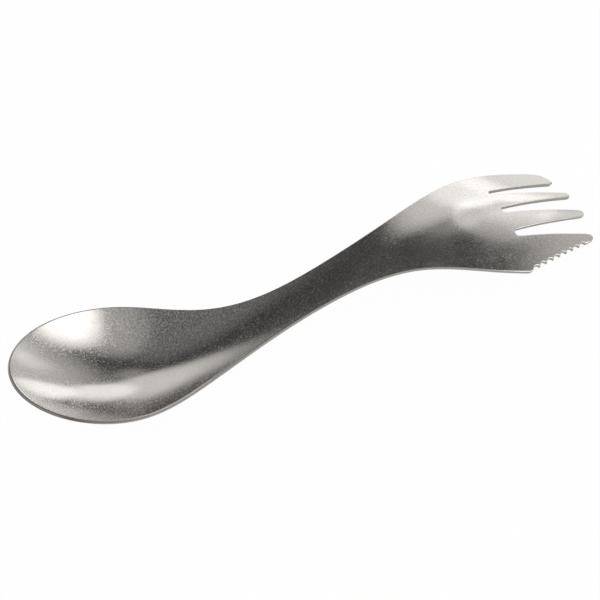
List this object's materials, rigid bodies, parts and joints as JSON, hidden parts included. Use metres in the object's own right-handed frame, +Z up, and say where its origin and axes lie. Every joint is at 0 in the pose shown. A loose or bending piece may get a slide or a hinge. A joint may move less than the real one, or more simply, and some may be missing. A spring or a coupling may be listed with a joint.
{
  "type": "spork",
  "caption": "One-piece steel pocket spork with a dished spoon at one end, an arched fork with one serrated outer tine at the other, and a waisted handle between.",
  "frame": {"origin": "middle of the bounding box, at its bottom, where the piece stands on its bowl and its tine tips", "axes": "+X along the handle from the spoon to the tines, +Z up out of the bowl, serrated tine on the -Y side"},
  "size_m": [0.1712, 0.0422, 0.024],
  "materials": {
    "tumbled_stainless": "satin, tumbled after pressing, fine grain with brighter rounded edges"
  },
  "bodies": {
    "root": {"spork_body": "tumbled_stainless"}
  },
  "joints": []
}
